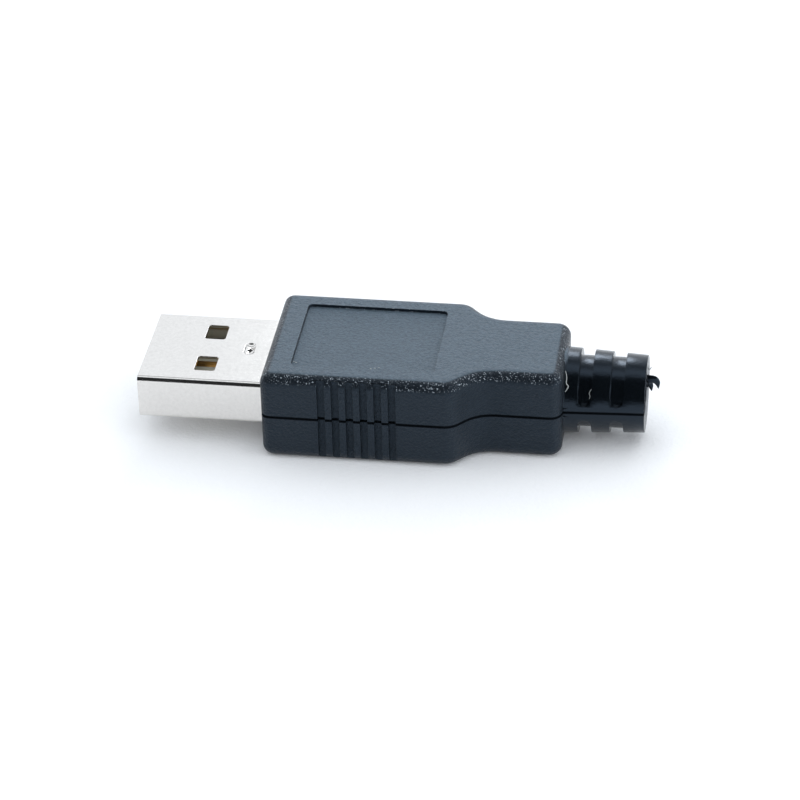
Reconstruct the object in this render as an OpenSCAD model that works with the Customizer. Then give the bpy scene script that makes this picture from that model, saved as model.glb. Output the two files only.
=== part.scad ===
// USB-A plug for soldering by hand: a folded steel shell round an insulator and
// four contacts, held between two moulded covers that snap together.
// X runs from the plug's mouth to its cable outlet, Y across the plug, Z up.
// The origin is under the middle of the plug, on the surface it lies on.

/* [Plug shell] */
// Outside width of the folded shell
shell_width = 12; // [11.6:0.1:12.4]
// Outside height of the folded shell
shell_height = 4.5; // [4.3:0.1:4.7]
// Thickness of the steel sheet
sheet = 0.3; // [0.2:0.05:0.35]
// Outside radius of the four long bends
shell_bend = 0.5; // [0.4:0.05:0.7]
// Length of shell that stands out of the covers
shell_reach = 12.15; // [11.8:0.05:12.6]
// Length of shell held inside the covers
shell_seat = 6.6; // [6:0.1:7.2]
// Length of a latch window along the plug
window_length = 2; // [1.6:0.1:2.4]
// Width of a latch window across the plug
window_width = 2.5; // [2:0.1:2.8]
// Distance from the mouth to the windows
window_setback = 5.16; // [4.8:0.04:5.6]
// Distance of a window's middle from the centre line
window_offset = 2.85; // [2.6:0.05:3.2]
// Radius of the window corners
window_corner = 0.25; // [0.1:0.05:0.5]
// Width of the gap where the sheet's edges meet underneath
seam_gap = 0.08; // [0.05:0.01:0.15]

/* [Stake in the shell] */
// Distance from the mouth to the middle of the stake
stake_setback = 9.85; // [9.5:0.05:10.4]
// Size of the stake across the plug
stake_width = 2.1; // [1.7:0.1:2.6]
// Size of the stake along the plug
stake_length = 1.1; // [0.8:0.1:1.4]
// Depth to which the stake is pressed in
stake_depth = 0.25; // [0.15:0.05:0.35]

/* [Insulator and contacts] */
// Height of the contact faces above the outside of the shell's underside
contact_level = 1.95; // [1.8:0.05:2.1]
// Thickness of the contact strip
contact_sheet = 0.25; // [0.2:0.05:0.3]
// Width of a contact
contact_width = 1; // [0.8:0.1:1.2]
// Distance of the two inner contacts from the centre line
inner_contact = 1; // [0.9:0.05:1.2]
// Distance of the two outer contacts from the centre line
outer_contact = 3.5; // [3.3:0.05:3.7]
// Distance from the mouth to the tips of the outer contacts
contact_setback = 1.3; // [1.1:0.1:1.6]
// How much further back the inner contacts start
contact_stagger = 1; // [0.8:0.1:1.2]
// Width of a contact's solder tab
tab_width = 1.4; // [1.2:0.1:1.6]
// Length of a contact's solder tab
tab_length = 3.2; // [2.6:0.1:3.6]
// Distance from the mouth to the tip of the tongue
tongue_setback = 0.5; // [0.3:0.1:0.8]
// Depth of the cavity over the tongue
cavity_depth = 9; // [8.8:0.1:9.2]
// Length of the block behind the cavity
block_length = 5; // [4.6:0.1:5.4]
// Clearance between the insulator and the shell
insulator_clearance = 0.05; // [0.03:0.01:0.1]

/* [Covers] */
// Length of the covers without the strain relief
body_length = 28.35; // [26:0.05:32]
// Width of the covers
body_width = 15.7; // [15:0.1:17]
// Height of the two covers together
body_height = 9.2; // [8.6:0.1:10]
// Height of the plane where the covers meet
parting_height = 4.64; // [4.4:0.02:5]
// How far the shell's middle lies above that plane
shell_lift = 0.18; // [0:0.02:0.3]
// Wall of the covers round the wiring space
wall = 1.4; // [1:0.1:1.6]
// Radius of the long edges, top and bottom
edge_round = 1.15; // [0.6:0.05:1.4]
// Radius of the front corners in plan
front_corner = 0.85; // [0.5:0.05:1.4]
// Radius of the rear corners in plan
rear_corner = 1.2; // [0.6:0.05:1.6]
// Clearance between the covers and the shell
shell_clearance = 0.05; // [0.03:0.01:0.12]

/* [Neck] */
// Width of the neck behind the shoulders
neck_width = 10.6; // [10:0.1:12]
// Distance from the front of the covers to the shoulders
shoulder_setback = 17.35; // [16.8:0.05:18.5]
// Radius of the outward curve of a shoulder
shoulder_radius = 1.9; // [1.6:0.1:2.6]
// Radius of the inward curve into the neck
neck_radius = 3.7; // [3:0.1:4.4]
// Straight stretch between the two curves
shoulder_straight = 0.9; // [0.3:0.1:1.5]

/* [Panel and grips] */
// Length of the recessed panel on top
panel_length = 13.6; // [12:0.1:14]
// Width of the recessed panel
panel_width = 11.1; // [10:0.1:12]
// Depth of the recessed panel
panel_depth = 0.28; // [0.15:0.01:0.4]
// Distance from the front of the covers to the panel
panel_setback = 2.7; // [2.2:0.1:3.2]
// Radius of the panel's corners
panel_corner = 0.5; // [0.2:0.1:1.5]
// Number of grip grooves on each side
grip_count = 6; // [3:1:7]
// Width of a grip groove
grip_width = 0.68; // [0.5:0.02:0.9]
// Distance from one grip groove to the next
grip_pitch = 1.35; // [1.1:0.05:1.6]
// Depth of a grip groove
grip_depth = 0.32; // [0.2:0.02:0.5]
// Distance from the front of the covers to the first groove
grip_setback = 5.5; // [5:0.1:6.5]
// Distance of the grooves' ends from the top and bottom faces
grip_end = 0.75; // [0.5:0.05:1]
// Width of the line where the covers meet
parting_gap = 0.16; // [0.08:0.02:0.24]
// Depth of the line where the covers meet
parting_depth = 0.12; // [0.06:0.02:0.2]

/* [Strain relief] */
// Length of the strain relief
relief_length = 7.65; // [7:0.05:9]
// Outside radius of the strain relief at the neck
relief_radius = 4.12; // [4:0.02:4.4]
// Outside radius of the strain relief at its end
relief_end_radius = 3.71; // [3.6:0.01:4]
// Radius of the core between the ribs
core_radius = 3.4; // [3.2:0.05:3.5]
// Chamfer round the end of the strain relief
relief_chamfer = 0.25; // [0.1:0.05:0.4]
// Width of a slot in the strain relief
slot_width = 1.27; // [1:0.01:1.5]
// Distance from the neck to the first slot
slot_setback = 1.35; // [1.1:0.05:1.6]
// Distance from one slot to the next
slot_pitch = 3.02; // [2.6:0.02:3.3]
// Distance of the upper slots' round ends from the parting plane
upper_slot_end = 0.66; // [0.4:0.02:1]
// Distance of the lower slots' round ends from the parting plane
lower_slot_end = 0.95; // [0.6:0.05:1.3]
// Radius of the cable outlet
cable_radius = 2.4; // [2.1:0.05:2.7]

/* [Inside the covers] */
// Radius by which the clamping ribs bite into the cable
rib_bite = 0.3; // [0.1:0.05:0.5]
// Thickness of a clamping rib
rib_thickness = 0.8; // [0.6:0.1:1.2]
// Distance between the middles of the two clamping ribs
rib_pitch = 2; // [1.6:0.1:2.4]
// Radius of a snap peg
peg_radius = 0.6; // [0.5:0.05:0.8]
// Wall round a snap peg's socket
peg_wall = 0.75; // [0.5:0.05:0.9]
// Height of a snap peg above the parting plane
peg_height = 1.2; // [0.8:0.1:1.6]
// Clearance round and over a snap peg
peg_clearance = 0.05; // [0.02:0.01:0.1]
// Length of the lugs that hold the shell by its side notches
lug_length = 1.6; // [1.2:0.1:2]
// Height of the lugs that hold the shell by its side notches
lug_height = 1.8; // [1.4:0.1:2.2]
// Distance from the front of the covers to the lugs
lug_setback = 2.4; // [2:0.1:3]

/* [Hidden] */

$fn = 48;
arc_steps = 6;
cut = 1;

plastic = "#2b3138";
steel = "#d4d7d8";
nylon = "#d9d8d2";
gold = "#b58a3c";

// Stations along X, counted from the mouth
body_front = shell_reach;
body_rear = body_front + body_length;
plug_length = body_rear + relief_length;
shell_rear = shell_reach + shell_seat;
shoulder_start = body_front + shoulder_setback;
block_rear = cavity_depth + block_length;
tab_rear = block_rear + tab_length;
lug_start = body_front + lug_setback;
stake_rise = stake_length * stake_length / 4 + stake_depth * stake_depth;
stake_radius = stake_rise / (2 * stake_depth);

// Half widths of the covers
half_body = body_width / 2;
half_neck = neck_width / 2;

// Levels along Z
shell_middle = parting_height + shell_lift;
shell_bottom = shell_middle - shell_height / 2;
shell_top = shell_middle + shell_height / 2;
contact_top = shell_bottom + contact_level;
contact_bottom = contact_top - contact_sheet;
space_bottom = wall;
space_top = body_height - wall - panel_depth;

// Turn of each shoulder, so that its curves and straight make up the step in width
step = half_body - half_neck;
curves = shoulder_radius + neck_radius;
lead = atan2(shoulder_straight, curves);
shoulder_turn = acos((curves - step) / norm([curves, shoulder_straight])) - lead;
neck_start = shoulder_start + curves * sin(shoulder_turn) + shoulder_straight * cos(shoulder_turn);

// Snap pegs stand where the side walls meet the ends of the wiring space
peg_post = peg_radius + peg_wall;
peg_sink = 0.15;
peg_y = half_body - wall - peg_post + peg_sink;
peg_places = [shell_rear + peg_post + 0.3, shoulder_start - peg_post];
rib_places = [body_rear - wall - 1.5 - rib_pitch, body_rear - wall - 1.5];

// Points of an arc, turning in even steps
function arc(middle, radius, from, to) = [
    for (i = [0:arc_steps])
        let (turn = from + (to - from) * i / arc_steps)
        middle + radius * [cos(turn), sin(turn)]
];

// Points of a rectangle with round corners, about its middle
function round_box(width, height, radius) = concat(
    arc([width / 2 - radius, height / 2 - radius], radius, 0, 90),
    arc([radius - width / 2, height / 2 - radius], radius, 90, 180),
    arc([radius - width / 2, radius - height / 2], radius, 180, 270),
    arc([width / 2 - radius, radius - height / 2], radius, 270, 360)
);

// One side of the covers in plan, drawn in by inset. The end corners tighten
// with the inset, so that the rounded long edges close over them.
function corner(radius, inset) = max(0.1, radius * (1 - inset / (edge_round + 0.2)));
function cover_side(inset) =
    let (front = corner(front_corner, inset), rear = corner(rear_corner, inset))
    concat(
        arc([body_front + inset + front, half_body - inset - front], front, 180, 90),
        arc([shoulder_start, half_body - shoulder_radius],
            shoulder_radius - inset, 90, 90 - shoulder_turn),
        arc([neck_start, half_neck + neck_radius],
            neck_radius + inset, 270 - shoulder_turn, 270),
        arc([body_rear - inset - rear, half_neck - inset - rear], rear, 90, 0)
    );
function cover_outline(inset) =
    let (side = cover_side(inset), last = len(side) - 1)
    concat(side, [for (i = [last:-1:0]) [side[i].x, -side[i].y]]);

// Puts a shape drawn from the mouth into the part's frame
module in_frame() {
    translate([-plug_length / 2, 0, 0]) children();
}

// Extrudes a section drawn in Y and Z along X
module along_x(from, to) {
    translate([from, 0, 0]) rotate([90, 0, 90]) linear_extrude(to - from) children();
}

// Extrudes a side view drawn in X and Z across Y
module across_y(middle, width) {
    translate([0, middle, 0]) rotate([90, 0, 0]) linear_extrude(width, center = true) children();
}

// Section of the shell, grown or shrunk all round
module shell_section(grow) {
    translate([0, shell_middle])
        polygon(round_box(shell_width + 2 * grow, shell_height + 2 * grow,
            max(0.1, shell_bend + grow)));
}

// Round-ended dent pressed into the shell's top
module stake(grow) {
    reach = (stake_width - stake_length) / 2;
    translate([stake_setback, 0, shell_top + stake_radius - stake_depth]) {
        rotate([90, 0, 0])
            cylinder(r = (stake_radius + grow) * 0.98, h = 2 * reach, center = true);
        for (side = [-1, 1])
            translate([0, side * reach, 0]) sphere(r = stake_radius + grow);
    }
}

// Four latch windows, two on top and two underneath
module windows() {
    for (side = [-1, 1])
        translate([window_setback + window_length / 2, side * window_offset, shell_bottom - cut])
            linear_extrude(shell_height + 2 * cut)
                polygon(round_box(window_length, window_width, window_corner));
}

// Seam underneath, locked by two dovetails
module seam() {
    neck = 1.2;
    head = 1.9;
    reach = 1.1;
    translate([0, 0, shell_bottom - cut]) linear_extrude(cut + sheet * 1.5) difference() {
        union() {
            translate([-cut, -seam_gap / 2]) square([shell_rear + 2 * cut, seam_gap]);
            for (x = [window_setback / 2 + 0.4, window_setback + window_length + 2])
                dovetail(x, neck + 2 * seam_gap, head + 2 * seam_gap, -seam_gap / 2, reach + seam_gap);
        }
        for (x = [window_setback / 2 + 0.4, window_setback + window_length + 2])
            dovetail(x, neck, head, -seam_gap, reach);
    }
}

module dovetail(x, neck, head, from, to) {
    polygon([[x - neck / 2, from], [x + neck / 2, from], [x + head / 2, to], [x - head / 2, to]]);
}

// Lugs of the covers, from the pocket's wall as far in as the sheet is thick
module lugs() {
    for (side = [-1, 1])
        translate([lug_start, side * (shell_width - sheet + cut) / 2 - (sheet + cut) / 2,
                shell_middle - lug_height / 2])
            cube([lug_length, sheet + cut, lug_height]);
}

// Notches in the shell's sides that the lugs stand in
module notches() {
    for (side = [-1, 1])
        translate([lug_start - shell_clearance, side * shell_width / 2 - cut,
                shell_middle - lug_height / 2 - shell_clearance])
            cube([lug_length + 2 * shell_clearance, 2 * cut, lug_height + 2 * shell_clearance]);
}

// Folded shell: an open tube of sheet with windows, stake, seam and side notches
module plug_shell() {
    color(steel) in_frame() difference() {
        union() {
            along_x(0, shell_rear) difference() {
                shell_section(0);
                shell_section(-sheet);
            }
            intersection() {
                stake(sheet);
                translate([0, -shell_width / 4, shell_middle])
                    cube([shell_rear, shell_width / 2, shell_height / 2 - sheet / 2]);
            }
        }
        stake(0);
        windows();
        seam();
        notches();
    }
}

// Insulator: tongue under the cavity, block behind it and a shelf for the solder tabs
module insulator_section(top) {
    intersection() {
        shell_section(-sheet - insulator_clearance);
        translate([-shell_width / 2, shell_bottom]) square([shell_width, top - shell_bottom]);
    }
    translate([-shell_width / 2 + shell_bend + sheet, shell_bottom + sheet])
        square([shell_width - 2 * (shell_bend + sheet), insulator_clearance * 2]);
}

module insulator() {
    color(nylon) in_frame() difference() {
        union() {
            along_x(tongue_setback, cavity_depth) insulator_section(contact_top);
            along_x(cavity_depth, block_rear) insulator_section(shell_top);
            along_x(block_rear, tab_rear) insulator_section(contact_bottom);
            for (y = [-1, 0, 1] * (inner_contact + outer_contact) / 2)
                translate([block_rear, y - 0.15, contact_bottom])
                    cube([tab_length - 0.4, 0.3, contact_sheet * 2]);
        }
        stake(sheet + insulator_clearance);
        for (place = contact_places) contact_channel(place[0], place[1]);
    }
}

// Place across the plug and start of each contact, from power to ground
contact_places = [
    [-outer_contact, contact_setback],
    [-inner_contact, contact_setback + contact_stagger],
    [inner_contact, contact_setback + contact_stagger],
    [outer_contact, contact_setback]
];
tip_drop = 0.5;

// Channel in the tongue, open above, and its way through the block
module contact_channel(y, start) {
    across_y(y, contact_width) polygon([
        [start, contact_bottom - tip_drop], [start + tip_drop, contact_bottom],
        [block_rear + cut, contact_bottom], [block_rear + cut, contact_top],
        [cavity_depth, contact_top], [cavity_depth, contact_top + cut],
        [start, contact_top + cut]
    ]);
}

// Contact: a strip with its tip bent down and a wide tab to solder to
module contact(y, start) {
    color(gold) in_frame() {
        across_y(y, contact_width) polygon([
            [start, contact_bottom - tip_drop], [start + tip_drop, contact_bottom],
            [block_rear + cut, contact_bottom], [block_rear + cut, contact_top],
            [start + tip_drop, contact_top], [start, contact_top - tip_drop]
        ]);
        translate([block_rear + tab_length / 2 + 0.1, y, contact_bottom]) linear_extrude(contact_sheet)
            polygon(round_box(tab_length - 0.2, tab_width, 0.3));
    }
}

module power_contact() { contact(contact_places[0][0], contact_places[0][1]); }
module data_minus_contact() { contact(contact_places[1][0], contact_places[1][1]); }
module data_plus_contact() { contact(contact_places[2][0], contact_places[2][1]); }
module ground_contact() { contact(contact_places[3][0], contact_places[3][1]); }

// Outer form of one cover, standing on its rounded face and cut flat at height.
// Both flat faces are strips that run from side to side.
module cover_form(height) {
    rings = concat(
        [for (i = [0:arc_steps]) let (turn = 90 * i / arc_steps)
            [edge_round * (1 - sin(turn)), edge_round * (1 - cos(turn))]],
        [[0, height]]
    );
    count = len(cover_outline(0));
    top = (len(rings) - 1) * count;
    polyhedron(
        points = [for (ring = rings) for (p = cover_outline(ring[0])) [p.x, p.y, ring[1]]],
        faces = concat(
            [for (i = [0:count / 2 - 2]) [count - 1 - i, count - 2 - i, i + 1, i]],
            [for (k = [0:len(rings) - 2]) for (i = [0:count - 1])
                let (a = k * count + i, b = k * count + (i + 1) % count)
                [a, b, b + count, a + count]],
            [for (i = [0:count / 2 - 2]) [top + i, top + i + 1, top + count - 2 - i, top + count - 1 - i]]
        )
    );
}

// Strain relief: a tapered sleeve, slotted down to its core from above and below
module relief() {
    difference() {
        translate([body_rear - cut, 0, parting_height]) rotate([0, 90, 0])
            rotate_extrude() polygon([
                [0, 0], [relief_radius, 0], [relief_radius, cut],
                [relief_end_radius, cut + relief_length - relief_chamfer],
                [relief_end_radius - relief_chamfer, cut + relief_length],
                [0, cut + relief_length]
            ]);
        difference() {
            for (x = [0, slot_pitch]) {
                slot(body_rear + slot_setback + x, upper_slot_end, 1);
                slot(body_rear + slot_setback + x, lower_slot_end, -1);
            }
            translate([body_rear - cut, 0, parting_height]) rotate([0, 90, 0])
                cylinder(r = core_radius, h = relief_length + 2 * cut);
        }
    }
}

// One slot through the ribs, with its round end towards the parting plane
module slot(x, end, side) {
    radius = slot_width / 2;
    across_y(0, 3 * relief_radius) translate([x + radius, parting_height]) {
        polygon(concat(
            arc([0, side * (end + radius)], radius, side > 0 ? 180 : 180, side > 0 ? 360 : 0),
            [[radius, side * 2 * relief_radius], [-radius, side * 2 * relief_radius]]
        ));
    }
}

// Upright grooves along both long sides
module grips(grow) {
    for (side = [-1, 1], i = [0:grip_count - 1])
        translate([body_front + grip_setback + i * grip_pitch - grow,
                side * (half_body + (cut - grip_depth - grow) / 2) - (cut + grip_depth + grow) / 2])
            square([grip_width + 2 * grow, cut + grip_depth + grow]);
}

// Line all round where the covers meet
module parting_line() {
    translate([0, 0, parting_height - parting_gap / 2]) linear_extrude(parting_gap) difference() {
        translate([body_front - cut, -half_body - cut])
            square([plug_length - body_front + 2 * cut, body_width + 2 * cut]);
        difference() {
            union() {
                polygon(cover_outline(parting_depth));
                polygon([
                    [body_rear - cut, parting_depth - relief_radius],
                    [plug_length - parting_depth, parting_depth - relief_end_radius],
                    [plug_length - parting_depth, relief_end_radius - parting_depth],
                    [body_rear - cut, relief_radius - parting_depth]
                ]);
            }
            grips(parting_depth);
        }
    }
}

// Space for the wires, following the covers' outline inside their walls
module wiring_space() {
    intersection() {
        translate([0, 0, space_bottom]) linear_extrude(space_top - space_bottom)
            polygon(cover_outline(wall));
        translate([shell_rear, -half_body, 0]) cube([body_length, body_width, body_height]);
    }
}

// Pocket that holds the shell, without the lugs that stand into its notches
module shell_pocket() {
    difference() {
        along_x(body_front - cut, shell_rear + 0.01) shell_section(shell_clearance);
        lugs();
    }
}

// Posts for the snap pegs and ribs that clamp the cable, inside the wiring space
module posts_and_ribs() {
    for (x = peg_places, side = [-1, 1])
        translate([x, side * peg_y, space_bottom - peg_sink])
            cylinder(r = peg_post, h = space_top - space_bottom + 2 * peg_sink);
    for (x = rib_places)
        translate([x - rib_thickness / 2, -half_neck + wall / 2, space_bottom - peg_sink])
            cube([rib_thickness, neck_width - wall, space_top - space_bottom + 2 * peg_sink]);
}

// What both covers share: the hollow form with its posts, ribs, pocket and outlet
module cover_body() {
    difference() {
        union() {
            difference() {
                children();
                wiring_space();
            }
            intersection() {
                children();
                posts_and_ribs();
            }
        }
        shell_pocket();
        translate([body_rear - 2 * wall - rib_pitch - rib_thickness - cut, 0, parting_height]) rotate([0, 90, 0])
            cylinder(r = cable_radius - rib_bite, h = relief_length + body_length);
        translate([body_rear - wall - cut / 2, 0, parting_height]) rotate([0, 90, 0])
            cylinder(r = cable_radius, h = relief_length + wall + cut);
        translate([0, 0, grip_end]) linear_extrude(body_height - 2 * grip_end) grips(0);
        parting_line();
    }
}

// Half of the space, above or below the parting plane
module half_space(side) {
    translate([0, -body_width, side > 0 ? parting_height : parting_height - body_height])
        cube([plug_length + cut, 2 * body_width, body_height]);
}

// Lower cover, with the snap pegs
module lower_cover() {
    color(plastic) in_frame() {
        cover_body() {
            cover_form(parting_height);
            intersection() {
                relief();
                half_space(-1);
            }
        }
        for (x = peg_places, side = [-1, 1])
            translate([x, side * peg_y, parting_height - peg_height])
                cylinder(r = peg_radius, h = 2 * peg_height);
    }
}

// Upper cover, with the recessed panel and the sockets for the pegs
module upper_cover() {
    color(plastic) in_frame() difference() {
        cover_body() {
            translate([0, 0, body_height]) mirror([0, 0, 1])
                cover_form(body_height - parting_height);
            intersection() {
                relief();
                half_space(1);
            }
        }
        translate([body_front + panel_setback + panel_length / 2, 0, body_height - panel_depth])
            linear_extrude(panel_depth + cut)
                polygon(round_box(panel_length, panel_width, panel_corner));
        for (x = peg_places, side = [-1, 1])
            translate([x, side * peg_y, parting_height - cut])
                cylinder(r = peg_radius + peg_clearance, h = cut + peg_height + peg_clearance);
    }
}

upper_cover();
lower_cover();
plug_shell();
insulator();
power_contact();
data_minus_contact();
data_plus_contact();
ground_contact();
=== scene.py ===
"""A USB-A plug for soldering by hand, lying on a pale table."""
import math

import bpy
from mathutils import Matrix, Vector


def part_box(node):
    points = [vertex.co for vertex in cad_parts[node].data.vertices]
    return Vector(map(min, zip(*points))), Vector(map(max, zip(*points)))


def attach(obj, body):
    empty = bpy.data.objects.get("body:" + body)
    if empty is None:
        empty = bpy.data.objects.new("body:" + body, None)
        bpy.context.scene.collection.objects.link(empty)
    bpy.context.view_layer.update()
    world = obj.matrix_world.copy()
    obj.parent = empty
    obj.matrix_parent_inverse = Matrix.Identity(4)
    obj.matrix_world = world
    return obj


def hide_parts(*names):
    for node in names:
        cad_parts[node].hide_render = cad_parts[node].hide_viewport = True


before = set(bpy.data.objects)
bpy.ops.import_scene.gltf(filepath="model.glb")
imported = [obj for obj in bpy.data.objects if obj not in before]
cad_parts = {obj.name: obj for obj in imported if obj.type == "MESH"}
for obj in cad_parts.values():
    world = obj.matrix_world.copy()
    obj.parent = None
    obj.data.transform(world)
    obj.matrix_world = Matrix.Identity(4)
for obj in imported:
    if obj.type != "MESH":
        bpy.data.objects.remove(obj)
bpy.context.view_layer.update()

MM = 0.001

# Landmarks of the plug, from the frame. The strain relief is 7.65 mm long.
COVER_LOW, COVER_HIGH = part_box("upper_cover")
SHELL_LOW, SHELL_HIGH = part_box("plug_shell")
PLUG_END = COVER_HIGH.x
PARTING = COVER_LOW.z
BODY_REAR = PLUG_END - 7.65 * MM
STAKE = Vector((SHELL_LOW.x + 9.85 * MM, 0.2 * MM, SHELL_HIGH.z))
PANEL_FLOOR = COVER_HIGH.z - 0.28 * MM

# The stake's half length, half width and depth.
STAKE_SIZE = Vector((0.62, 1.15, 0.32)) * MM

# The grip grooves, as the solids have them, in millimetres.
GROOVE_COUNT = 6
GROOVE_START = 5.84
GROOVE_PITCH = 1.35
GROOVE_WIDTH = 0.684
GROOVE_DEPTH = 0.324

# The outlet's mouth: how far it sinks, the zone that is reshaped, the reach of
# the bore, and the rim's radius and chamfer.
MOUTH_SINK = 0.2 * MM
MOUTH_ZONE = 0.26 * MM
BORE_REACH = 3.0 * MM
RIM_REACH = 3.3 * MM
RIM_RADIUS = 3.67 * MM
RIM_CHAMFER = 0.04 * MM

# Corners that bend more than this many degrees are rounded.
SHARP_CORNER = 32

# The light in reflections, from the far horizon up and over. Each step has its
# angle in degrees and its share before and after it; the shares add up.
LIGHT_STEPS = ((54, 1.25, 0.5), (74, 0.0, 0.9), (98, 0.0, -1.37))
SIDE_LEVEL = 0.5
# The light on surfaces, which is stronger from overhead.
FILL_OVERHEAD = 1.3
FILL_LOW = 0.4
LAMP_TINT = "#f4f9ff"
LAMP_AIM = (0, 0, 0.005)


# --- Helpers ------------------------------------------------------------------

def srgb(code):
    """A colour written as #rrggbb, turned to linear light."""
    parts = [int(code[i:i + 2], 16) / 255 for i in (1, 3, 5)]
    linear = [c / 12.92 if c <= 0.04045 else ((c + 0.055) / 1.055) ** 2.4 for c in parts]
    return (*linear, 1.0)


def add(tree, kind, settings=None, **inputs):
    """Adds a node, sets its properties, and fills or links its inputs by name."""
    node = tree.nodes.new(kind)
    for name, value in (settings or {}).items():
        setattr(node, name, value)
    for name, value in inputs.items():
        socket = node.inputs[int(name[1:])] if name[0] == "_" else node.inputs[name.replace("_", " ")]
        if isinstance(value, bpy.types.NodeSocket):
            tree.links.new(value, socket)
        else:
            socket.default_value = value
    return node


def new_material(name):
    """An empty node material with its output, and its tree."""
    material = bpy.data.materials.new(name)
    material.use_nodes = True
    tree = material.node_tree
    tree.nodes.clear()
    return material, tree


def deselect():
    if bpy.context.object and bpy.context.object.mode != "OBJECT":
        bpy.ops.object.mode_set(mode="OBJECT")
    bpy.ops.object.select_all(action="DESELECT")


def pick(piece):
    """Makes this piece the only one selected."""
    deselect()
    piece.select_set(True)
    bpy.context.view_layer.objects.active = piece


def settle(piece, name, material, slot, *nodes):
    """Names a finished piece, gives it its material, and ties it to the frame."""
    pick(piece)
    piece.name = name
    bpy.ops.object.transform_apply(location=True, rotation=True, scale=True)
    piece.data.materials.clear()
    piece.data.materials.append(material)
    if nodes:
        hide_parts(*nodes)
    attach(piece, "root")
    return piece


# --- Materials ----------------------------------------------------------------

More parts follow.
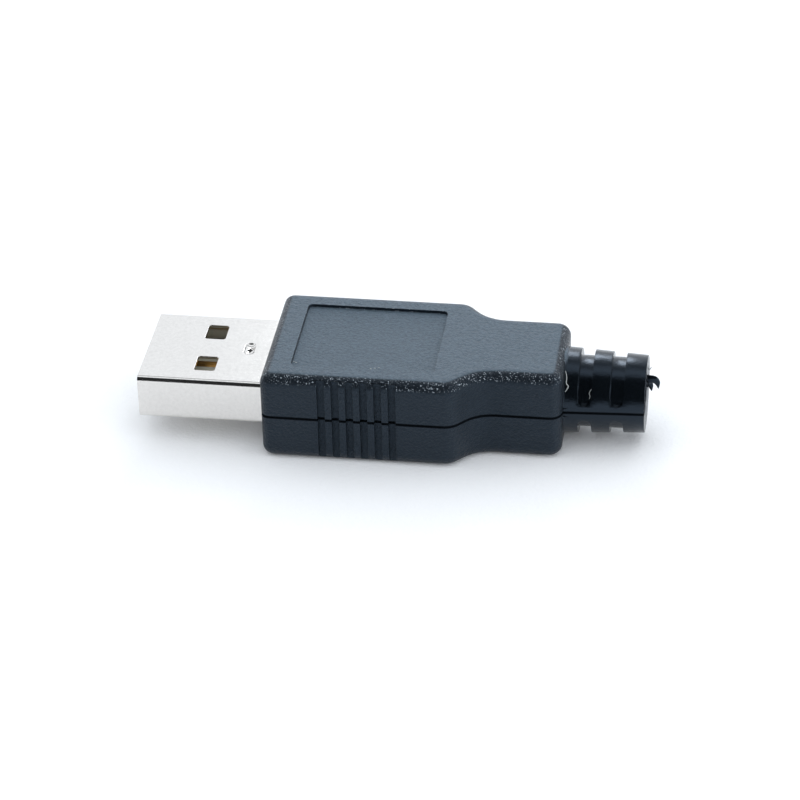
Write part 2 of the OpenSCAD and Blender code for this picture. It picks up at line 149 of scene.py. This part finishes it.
def moulded_abs():
    """Black ABS from a spark-eroded mould: a matt grain that scatters light. The
    broad faces are painted grey, a painted sheen for the light their grain
    catches, the walls are painted darker, a painted shade, and the strain
    relief is darkest and smoothest."""
    material, tree = new_material("spark_eroded_black_abs")
    place = add(tree, "ShaderNodeTexCoord").outputs["Object"]
    spot = add(tree, "ShaderNodeSeparateXYZ", Vector=place)
    facing = add(tree, "ShaderNodeTexCoord").outputs["Normal"]
    lean = add(tree, "ShaderNodeSeparateXYZ", Vector=facing).outputs["Z"]
    lean = add(tree, "ShaderNodeMath", {"operation": "ABSOLUTE"}, _0=lean).outputs[0]
    on_body = add(tree, "ShaderNodeMapRange", {"clamp": True}, Value=spot.outputs["X"],
                  From_Min=BODY_REAR - 0.1 * MM, From_Max=BODY_REAR + 0.2 * MM,
                  To_Min=1.0, To_Max=0.0).outputs[0]
    broad = add(tree, "ShaderNodeMapRange", {"interpolation_type": "SMOOTHSTEP"}, Value=lean,
                From_Min=0.9, From_Max=0.995).outputs[0]
    painted_lit_faces = add(tree, "ShaderNodeMath", {"operation": "MULTIPLY"}, _0=broad, _1=on_body).outputs[0]
    grain = add(tree, "ShaderNodeTexNoise", Vector=place,
                Scale=1 / (0.3 * MM), Detail=4.0, Roughness=0.7).outputs["Fac"]
    drift = add(tree, "ShaderNodeTexNoise", Vector=place,
                Scale=1 / (5 * MM), Detail=2.0).outputs["Fac"]
    # The grain is drawn 0.3 mm wide, which is coarser than the real one, so that
    # it shows.
    depth = add(tree, "ShaderNodeMapRange", Value=on_body, To_Min=0.15, To_Max=1.0).outputs[0]
    bump = add(tree, "ShaderNodeBump", Strength=depth, Distance=0.16 * MM, Height=grain).outputs[0]
    sheen = add(tree, "ShaderNodeMapRange", Value=on_body, To_Min=0.15, To_Max=0.3).outputs[0]
    rough = add(tree, "ShaderNodeMath", {"operation": "MULTIPLY_ADD"},
                _0=drift, _1=0.08, _2=sheen).outputs[0]
    # Walls and broad faces are lit and shaded copies of one plastic: the broad faces' pale tone below is
    # painted light, and the walls' darker tone is painted shade.
    wall = add(tree, "ShaderNodeMix", {"data_type": "RGBA"}, _0=grain,
               _6=srgb("#0c1116"), _7=srgb("#1d252c")).outputs[2]
    sleeve = add(tree, "ShaderNodeMix", {"data_type": "RGBA"}, _0=grain,
                 _6=srgb("#05080b"), _7=srgb("#0c1014")).outputs[2]
    wall = add(tree, "ShaderNodeMix", {"data_type": "RGBA"}, _0=on_body, _6=sleeve, _7=wall).outputs[2]
    face = add(tree, "ShaderNodeMix", {"data_type": "RGBA"}, _0=grain,
               _6=srgb("#1a2229"), _7=srgb("#667681")).outputs[2]
    tone = add(tree, "ShaderNodeMix", {"data_type": "RGBA"}, _0=painted_lit_faces, _6=wall, _7=face).outputs[2]
    # The rounded upper edges are painted dark, a painted reflection of the dark
    #     room, with pale specks that are painted glints of the grain.
    upper = add(tree, "ShaderNodeMapRange", {"clamp": True}, Value=spot.outputs["Z"],
                From_Min=COVER_HIGH.z - 1.3 * MM, From_Max=COVER_HIGH.z - 0.8 * MM).outputs[0]
    rounded = add(tree, "ShaderNodeMapRange", {"interpolation_type": "SMOOTHSTEP"}, Value=lean,
                  From_Min=0.99, From_Max=0.9).outputs[0]
    peaks = add(tree, "ShaderNodeTexNoise", Vector=place,
                Scale=1 / (0.14 * MM), Detail=2.0, Roughness=0.5).outputs["Fac"]
    peaks = add(tree, "ShaderNodeMapRange", {"clamp": True}, Value=peaks,
                From_Min=0.6, From_Max=0.74).outputs[0]
    above = add(tree, "ShaderNodeMapRange", {"interpolation_type": "SMOOTHSTEP"}, Value=lean,
                From_Min=0.15, From_Max=0.5).outputs[0]
    painted_dark_edge = upper
    for share in (rounded, above):
        painted_dark_edge = add(tree, "ShaderNodeMath", {"operation": "MULTIPLY"},
                        _0=painted_dark_edge, _1=share).outputs[0]
    painted_glints = painted_dark_edge
    for share in (peaks, on_body):
        painted_glints = add(tree, "ShaderNodeMath", {"operation": "MULTIPLY"}, _0=painted_glints, _1=share).outputs[0]
    tone = add(tree, "ShaderNodeMix", {"data_type": "RGBA"}, _0=painted_dark_edge, _6=tone, _7=sleeve).outputs[2]
    tone = add(tree, "ShaderNodeMix", {"data_type": "RGBA"}, _0=painted_glints,
               _6=tone, _7=srgb("#c4cfd8")).outputs[2]
    # The gap between the halves, and a little beyond it, is coloured near black: painted shade for the
    # shadow in the gap.
    height = add(tree, "ShaderNodeMath", {"operation": "SUBTRACT"},
                 _0=spot.outputs["Z"], _1=PARTING).outputs[0]
    height = add(tree, "ShaderNodeMath", {"operation": "ABSOLUTE"}, _0=height).outputs[0]
    open_face = add(tree, "ShaderNodeMapRange", {"clamp": True}, Value=height,
                    From_Min=0.14 * MM, From_Max=0.16 * MM).outputs[0]
    tone = add(tree, "ShaderNodeMix", {"data_type": "RGBA"}, _0=open_face,
               _6=srgb("#020304"), _7=tone).outputs[2]
    rough = add(tree, "ShaderNodeMix", {"data_type": "FLOAT"}, _0=open_face, _2=1.0, _3=rough).outputs[0]
    shader = add(tree, "ShaderNodeBsdfPrincipled", Base_Color=tone, Roughness=rough, Normal=bump,
                 IOR=1.53, Specular_IOR_Level=0.4, Specular_Tint=srgb("#c4defa"))
    add(tree, "ShaderNodeOutputMaterial", Surface=shader.outputs[0])
    return material


def nickel_plate():
    """Bright nickel over rolled steel sheet: a clear reflection, slightly warm,
    softened by the sheet's fine pebbling."""
    material, tree = new_material("bright_nickel_plate")
    place = add(tree, "ShaderNodeTexCoord").outputs["Object"]
    pebble = add(tree, "ShaderNodeTexNoise", Vector=place,
                 Scale=1 / (0.35 * MM), Detail=4.0, Roughness=0.65).outputs["Fac"]
    cloud = add(tree, "ShaderNodeTexNoise", Vector=place,
                Scale=1 / (1.5 * MM), Detail=3.0).outputs["Fac"]
    rough = add(tree, "ShaderNodeMapRange", Value=cloud, To_Min=0.1, To_Max=0.2).outputs[0]
    bump = add(tree, "ShaderNodeBump", Strength=0.35, Distance=0.02 * MM, Height=pebble).outputs[0]
    tone = add(tree, "ShaderNodeMix", {"data_type": "RGBA"}, _0=pebble,
               _6=srgb("#cfccc8"), _7=srgb("#e6e3df")).outputs[2]
    shader = add(tree, "ShaderNodeBsdfPrincipled", Base_Color=tone, Metallic=1.0,
                 Roughness=rough, Normal=bump)
    add(tree, "ShaderNodeOutputMaterial", Surface=shader.outputs[0])
    return material


def natural_pbt():
    """Natural PBT as moulded: off-white, dense and slightly waxy."""
    material, tree = new_material("natural_pbt")
    place = add(tree, "ShaderNodeTexCoord").outputs["Object"]
    cloud = add(tree, "ShaderNodeTexNoise", Vector=place,
                Scale=1 / (1.2 * MM), Detail=3.0).outputs["Fac"]
    tone = add(tree, "ShaderNodeMix", {"data_type": "RGBA"}, _0=cloud,
               _6=srgb("#bfbaa6"), _7=srgb("#d2cebd")).outputs[2]
    bump = add(tree, "ShaderNodeBump", Strength=0.2, Distance=0.01 * MM, Height=cloud).outputs[0]
    shader = add(tree, "ShaderNodeBsdfPrincipled", Base_Color=tone, Roughness=0.42,
                 Normal=bump, IOR=1.55)
    add(tree, "ShaderNodeOutputMaterial", Surface=shader.outputs[0])
    return material


def gold_flash():
    """Thin gold flash over brass strip: a soft deep yellow with rolling lines."""
    material, tree = new_material("gold_flashed_brass")
    place = add(tree, "ShaderNodeTexCoord").outputs["Object"]
    stretched = add(tree, "ShaderNodeMapping", Vector=place, Scale=(0.1, 1.0, 1.0)).outputs[0]
    lines = add(tree, "ShaderNodeTexNoise", Vector=stretched,
                Scale=1 / (0.08 * MM), Detail=2.0).outputs["Fac"]
    rough = add(tree, "ShaderNodeMapRange", Value=lines, To_Min=0.2, To_Max=0.38).outputs[0]
    tone = add(tree, "ShaderNodeMix", {"data_type": "RGBA"}, _0=lines,
               _6=srgb("#a0773a"), _7=srgb("#c09350")).outputs[2]
    shader = add(tree, "ShaderNodeBsdfPrincipled", Base_Color=tone, Metallic=1.0, Roughness=rough)
    add(tree, "ShaderNodeOutputMaterial", Surface=shader.outputs[0])
    return material


# --- Pieces -------------------------------------------------------------------

def rounded_copy(node, radius, reshape=None):
    """A copy of a node's solid with its loose faces merged, reshaped where asked,
    and its sharp corners rounded a little."""
    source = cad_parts[node]
    piece = bpy.data.objects.new(node + "_piece", source.data.copy())
    bpy.context.scene.collection.objects.link(piece)
    pick(piece)
    bpy.ops.object.mode_set(mode="EDIT")
    bpy.ops.mesh.select_all(action="SELECT")
    bpy.ops.mesh.remove_doubles(threshold=0.0025 * MM)
    bpy.ops.object.mode_set(mode="OBJECT")
    if reshape:
        reshape(piece)
    bpy.ops.object.mode_set(mode="EDIT")
    bpy.ops.mesh.select_all(action="SELECT")
    bpy.ops.mesh.dissolve_limited(angle_limit=math.radians(0.6))
    bpy.ops.object.mode_set(mode="OBJECT")
    edge = piece.modifiers.new("edge", "BEVEL")
    edge.limit_method = "ANGLE"
    edge.angle_limit = math.radians(SHARP_CORNER)
    edge.width = radius
    edge.segments = 2
    edge.use_clamp_overlap = False
    edge.miter_outer = "MITER_ARC"
    bpy.ops.object.modifier_apply(modifier=edge.name)
    bpy.ops.object.shade_smooth_by_angle(angle=math.radians(38))
    even = piece.modifiers.new("even", "WEIGHTED_NORMAL")
    even.keep_sharp = True
    bpy.ops.object.modifier_apply(modifier=even.name)
    return piece


def cut(piece, cutter):
    """Takes the cutter's shape out of a piece, and drops the cutter."""
    pick(piece)
    tool = piece.modifiers.new("cut", "BOOLEAN")
    tool.operation = "DIFFERENCE"
    tool.solver = "EXACT"
    tool.object = cutter
    bpy.ops.object.modifier_apply(modifier=tool.name)
    bpy.data.objects.remove(cutter)
    pick(piece)


def block(size, place):
    """A cutter block of this size at this place."""
    bpy.ops.mesh.primitive_cube_add(size=1, location=place, scale=size)
    bpy.ops.object.transform_apply(location=True, rotation=True, scale=True)
    return bpy.context.object


def shape_cover(piece):
    """Sinks the outlet's mouth as a shallow cone, sharpens its rim, and lets the
    grip grooves run out into the rounded edges."""
    for corner in piece.data.vertices:
        place = corner.co
        if place.x < PLUG_END - MOUTH_ZONE:
            continue
        reach = math.hypot(place.y, place.z - PARTING)
        if reach < BORE_REACH:
            place.x = PLUG_END - MOUTH_SINK
        elif place.x > PLUG_END - 0.01 * MM:
            grow = RIM_RADIUS / reach if reach > RIM_REACH else 1
            place.y *= grow
            place.z = PARTING + (place.z - PARTING) * grow
        else:
            place.x = PLUG_END - RIM_CHAMFER
    deselect()
    # A cutter is 2 mm thick, and taller than the covers.
    cutters = []
    for side in (-1, 1):
        for groove in range(GROOVE_COUNT):
            along = COVER_LOW.x + (GROOVE_START + GROOVE_PITCH * groove) * MM
            outward = COVER_HIGH.y - GROOVE_DEPTH * MM + 1 * MM
            cutters.append(block((GROOVE_WIDTH * MM, 2 * MM, 12 * MM), (along, side * outward, 4 * MM)))
    deselect()
    for cutter in cutters:
        cutter.select_set(True)
    bpy.context.view_layer.objects.active = cutters[0]
    bpy.ops.object.join()
    cut(piece, bpy.context.object)


def shape_shell(piece):
    """Moves the stake 0.2 mm off the middle, to the far side."""
    for corner in piece.data.vertices:
        place = corner.co
        inside = abs(place.x - STAKE.x) < STAKE_SIZE.x and abs(place.y) < STAKE_SIZE.y
        if inside and place.z > STAKE.z - STAKE_SIZE.z:
            place.y += STAKE.y


def strand(name, root, points, radii, flatten, material, slot):
    """A tapered strand along a path: flash, lint and the like. The points count
    from the root, and they and the radii are in millimetres."""
    path = bpy.data.curves.new(name, "CURVE")
    path.dimensions = "3D"
    path.bevel_depth = 1.0
    path.bevel_resolution = 2
    path.use_fill_caps = True
    path.resolution_u = 6
    line = path.splines.new("NURBS")
    line.points.add(len(points) - 1)
    for point, step, radius in zip(line.points, points, radii):
        x, y, z = (start + away * MM for start, away in zip(root, step))
        point.co = (x, y * flatten, z, 1)
        point.radius = radius * MM
    line.use_endpoint_u = True
    line.order_u = 3
    piece = bpy.data.objects.new(name, path)
    bpy.context.scene.collection.objects.link(piece)
    pick(piece)
    bpy.ops.object.convert(target="MESH")
    piece.scale.y = 1 / flatten
    bpy.ops.object.transform_apply(scale=True)
    bpy.ops.object.shade_smooth()
    settle(piece, name, material, slot)


def lint_fibre():
    """Cotton lint: pale, dull and a little uneven in tone."""
    material, tree = new_material("cotton_lint")
    place = add(tree, "ShaderNodeTexCoord").outputs["Object"]
    cloud = add(tree, "ShaderNodeTexNoise", Vector=place,
                Scale=1 / (0.2 * MM), Detail=1.0).outputs["Fac"]
    tone = add(tree, "ShaderNodeMix", {"data_type": "RGBA"}, _0=cloud,
               _6=srgb("#8f9697"), _7=srgb("#d9dcd8")).outputs[2]
    shader = add(tree, "ShaderNodeBsdfPrincipled", Base_Color=tone, Roughness=0.8)
    add(tree, "ShaderNodeOutputMaterial", Surface=shader.outputs[0])
    return material


def painted_pinch_shade():
    """A dark, dull inlay in the pinch of the stake: painted shade for its
    shadowed bottom."""
    material, tree = new_material("stake_painted_shade")
    place = add(tree, "ShaderNodeTexCoord").outputs["Object"]
    cloud = add(tree, "ShaderNodeTexNoise", Vector=place,
                Scale=1 / (0.15 * MM), Detail=2.0).outputs["Fac"]
    tone = add(tree, "ShaderNodeMix", {"data_type": "RGBA"}, _0=cloud,
               _6=srgb("#0b0b0a"), _7=srgb("#2a2926")).outputs[2]
    shader = add(tree, "ShaderNodeBsdfPrincipled", Base_Color=tone, Roughness=0.6)
    add(tree, "ShaderNodeOutputMaterial", Surface=shader.outputs[0])
    return material


plastic = moulded_abs()
nickel = nickel_plate()
pbt = natural_pbt()
gold = gold_flash()
lint = lint_fibre()
shaded = painted_pinch_shade()

for node in ("upper_cover", "lower_cover"):
    settle(rounded_copy(node, 0.04 * MM, shape_cover), node + "_moulded", plastic, "cover_plastic", node)
settle(rounded_copy("plug_shell", 0.03 * MM, shape_shell), "folded_shell", nickel,
       "shell_steel", "plug_shell")
settle(rounded_copy("insulator", 0.03 * MM), "insulator_moulded", pbt, "insulator_plastic", "insulator")
for node in ("power_contact", "data_minus_contact", "data_plus_contact", "ground_contact"):
    settle(rounded_copy(node, 0.02 * MM), node + "_strip", gold, "contact_metal", node)

# Moulding flash on the outlet's rim, at the parting line, and a pale crumb by it.
rim = (PLUG_END, 3.1 * MM, PARTING)
strand("parting_flash", rim,
       [(-0.1, 0, -0.44), (0.3, 0, -0.32), (0.62, 0, -0.44), (0.84, 0, -0.79), (0.9, 0, -1.34)],
       [0.55, 0.5, 0.4, 0.26, 0.03], 2.5, plastic, "cover_plastic")
strand("flash_spur", rim,
       [(-0.1, 0, -0.69), (0.12, 0, -0.94), (0.2, 0, -1.24), (0.26, 0, -1.64)],
       [0.4, 0.32, 0.2, 0.04], 2.5, plastic, "cover_plastic")
strand("flash_crumb", rim,
       [(-0.05, 0.3, 0.56), (0.1, 0.32, 0.66), (0.16, 0.34, 0.86)],
       [0.05, 0.06, 0.03], 1.0, lint, "cover_plastic")

# Lint where the strain relief leaves the body, and in its first slot.
relief = (BODY_REAR, 0, PARTING)
strand("corner_lint", relief,
       [(0.055, -2.27, 3.49), (0.265, -2.74, 3.14), (0.175, -3.21, 2.65), (0.475, -3.33, 2.52),
        (0.335, -3.49, 2.28), (0.175, -3.64, 2.03)],
       [0.03, 0.045, 0.05, 0.05, 0.045, 0.03], 1.0, lint, "cover_plastic")
strand("slot_lint", relief,
       [(2.625, -2.81, 2.02), (2.455, -2.94, 1.85), (2.375, -3.09, 1.6), (2.535, -3.19, 1.38),
        (2.405, -3.28, 1.16)],
       [0.02, 0.03, 0.035, 0.03, 0.02], 1.0, lint, "cover_plastic")

# Five specks of dust on the panel's floor.
panel = (COVER_LOW.x, COVER_LOW.y, PANEL_FLOOR)
DUST = ((10.585, 2.89), (10.215, 2.76), (10.945, 3.02), (2.785, 3.25), (3.025, 3.1))
for number, (x, y) in enumerate(DUST):
    strand("dust_%d" % (number + 1), panel,
           [(x, y, 0.01), (x + 0.07, y + 0.05, 0.03), (x + 0.15, y + 0.02, 0.01)],
           [0.03, 0.045, 0.02], 1.0, lint, "cover_plastic")

# The pinched middle of the stake: two dark strands, painted shade for the bottom of the pinch.
for name, (x, y) in (("stake_shade_strand_long", (0.0, 0.42)), ("stake_shade_strand_cross", (0.4, 0.0))):
    strand(name, STAKE, [(-x, -y, -0.25), (0, 0, -0.2), (x, y, -0.25)],
           [0.02, 0.2, 0.02], 1.0, shaded, "shell_steel")

# --- Table, light and camera --------------------------------------------------

def pale_table():
    """White laminate that takes the plug's shadow, and is lifted a little where
    it is seen directly, in reflections or through something clear."""
    material, tree = new_material("white_laminate")
    ray = add(tree, "ShaderNodeLightPath")
    seen = add(tree, "ShaderNodeMath", {"operation": "MAXIMUM"},
               _0=ray.outputs["Is Camera Ray"], _1=ray.outputs["Is Glossy Ray"]).outputs[0]
    seen = add(tree, "ShaderNodeMath", {"operation": "MAXIMUM"},
               _0=seen, _1=ray.outputs["Is Transmission Ray"]).outputs[0]
    place = add(tree, "ShaderNodeTexCoord").outputs["Object"]
    grain = add(tree, "ShaderNodeTexNoise", Vector=place,
                Scale=1 / (0.35 * MM), Detail=3.0).outputs["Fac"]
    bump = add(tree, "ShaderNodeBump", Strength=0.6, Distance=0.12 * MM, Height=grain).outputs[0]
    matt = add(tree, "ShaderNodeBsdfDiffuse", Color=srgb("#fbfcfd"), Normal=bump).outputs[0]
    lift = add(tree, "ShaderNodeMath", {"operation": "MULTIPLY"}, _0=seen, _1=0.04).outputs[0]
    glow = add(tree, "ShaderNodeEmission", Color=(1.0, 1.0, 1.0, 1.0), Strength=lift).outputs[0]
    both = add(tree, "ShaderNodeAddShader", _0=matt, _1=glow).outputs[0]
    add(tree, "ShaderNodeOutputMaterial", Surface=both)
    deselect()
    bpy.ops.mesh.primitive_plane_add(size=1.6, location=(0, 0, 0))
    table = bpy.context.object
    table.name = "table"
    table.data.materials.append(material)


def studio_world():
    """Reflections see a lit wall behind the plug, a bright band overhead and a dark
    room in front. Surfaces are lit by an even fill, and the background is white
    where it is seen directly or through something clear."""
    world = bpy.data.worlds.new("studio")
    bpy.context.scene.world = world
    world.use_nodes = True
    tree = world.node_tree
    tree.nodes.clear()
    direction = add(tree, "ShaderNodeTexCoord").outputs["Generated"]
    part = add(tree, "ShaderNodeSeparateXYZ", Vector=direction)
    turn = add(tree, "ShaderNodeMath", {"operation": "ARCTAN2"},
               _0=part.outputs["Z"], _1=part.outputs["Y"]).outputs[0]
    levels = []
    for edge, low, high in LIGHT_STEPS:
        levels.append(add(tree, "ShaderNodeMapRange", {"interpolation_type": "SMOOTHSTEP"}, Value=turn,
                          From_Min=math.radians(edge - 5), From_Max=math.radians(edge + 5),
                          To_Min=low, To_Max=high).outputs[0])
    lit = levels[0]
    for level in levels[1:]:
        lit = add(tree, "ShaderNodeMath", {"operation": "ADD"}, _0=lit, _1=level).outputs[0]
    right = add(tree, "ShaderNodeMapRange", {"interpolation_type": "SMOOTHSTEP"}, Value=part.outputs["X"],
                From_Min=0.45, From_Max=0.7, To_Min=0.0, To_Max=SIDE_LEVEL).outputs[0]
    lit = add(tree, "ShaderNodeMath", {"operation": "MAXIMUM"}, _0=lit, _1=right).outputs[0]
    ray = add(tree, "ShaderNodeLightPath")
    room = add(tree, "ShaderNodeBackground", Color=srgb(LAMP_TINT), Strength=lit).outputs[0]
    height = add(tree, "ShaderNodeMath", {"operation": "ABSOLUTE"}, _0=part.outputs["Z"]).outputs[0]
    fill = add(tree, "ShaderNodeMapRange", {"interpolation_type": "SMOOTHSTEP"}, Value=height,
               From_Min=0.35, From_Max=0.7, To_Min=FILL_LOW, To_Max=FILL_OVERHEAD).outputs[0]
    even = add(tree, "ShaderNodeBackground", Color=srgb("#f6faff"), Strength=fill).outputs[0]
    room = add(tree, "ShaderNodeMixShader", _0=ray.outputs["Is Diffuse Ray"], _1=room, _2=even).outputs[0]
    white = add(tree, "ShaderNodeBackground", Color=(1, 1, 1, 1), Strength=1.0).outputs[0]
    seen = add(tree, "ShaderNodeMath", {"operation": "MAXIMUM"},
               _0=ray.outputs["Is Camera Ray"], _1=ray.outputs["Is Transmission Ray"]).outputs[0]
    shown = add(tree, "ShaderNodeMixShader", _0=seen, _1=room, _2=white).outputs[0]
    add(tree, "ShaderNodeOutputWorld", Surface=shown)


def softbox(name, place, size, power):
    """A square area lamp aimed at the plug's middle."""
    lamp = bpy.data.lights.new(name, "AREA")
    lamp.size = size
    lamp.energy = power
    lamp.color = srgb(LAMP_TINT)[:3]
    holder = bpy.data.objects.new(name, lamp)
    holder.location = place
    holder.rotation_euler = (Vector(LAMP_AIM) - Vector(place)).to_track_quat("-Z", "Y").to_euler()
    bpy.context.scene.collection.objects.link(holder)


def camera():
    """A long lens 304 mm away, 33 degrees up and 9 degrees to the right."""
    rise, swing, tilt = math.radians(32.956), math.radians(8.67), math.radians(-1.418)
    distance = 303.66 * MM
    middle = Vector((0.69 * MM, -2.596 * MM, 4.0 * MM))
    back = Vector((math.sin(swing) * math.cos(rise), -math.cos(swing) * math.cos(rise), math.sin(rise)))
    right = Vector((math.cos(swing), math.sin(swing), 0))
    up = back.cross(right)
    turned_right = math.cos(tilt) * right + math.sin(tilt) * up
    turned_up = math.cos(tilt) * up - math.sin(tilt) * right
    data = bpy.data.cameras.new("camera")
    data.lens = 143.06
    data.sensor_width = 36.0
    data.clip_start = 0.01
    data.clip_end = 10.0
    holder = bpy.data.objects.new("camera", data)
    turn = Matrix((turned_right, turned_up, back)).transposed()
    holder.matrix_world = Matrix.Translation(middle + back * distance) @ turn.to_4x4()
    bpy.context.scene.collection.objects.link(holder)
    bpy.context.scene.camera = holder


pale_table()
studio_world()
softbox("near_softbox", (-0.004, 0.13, 0.1), 0.05, 0.05)
softbox("right_softbox", (0.35, -0.08, 0.09), 0.12, 0.3)
camera()
bpy.context.scene.view_settings.view_transform = "Standard"
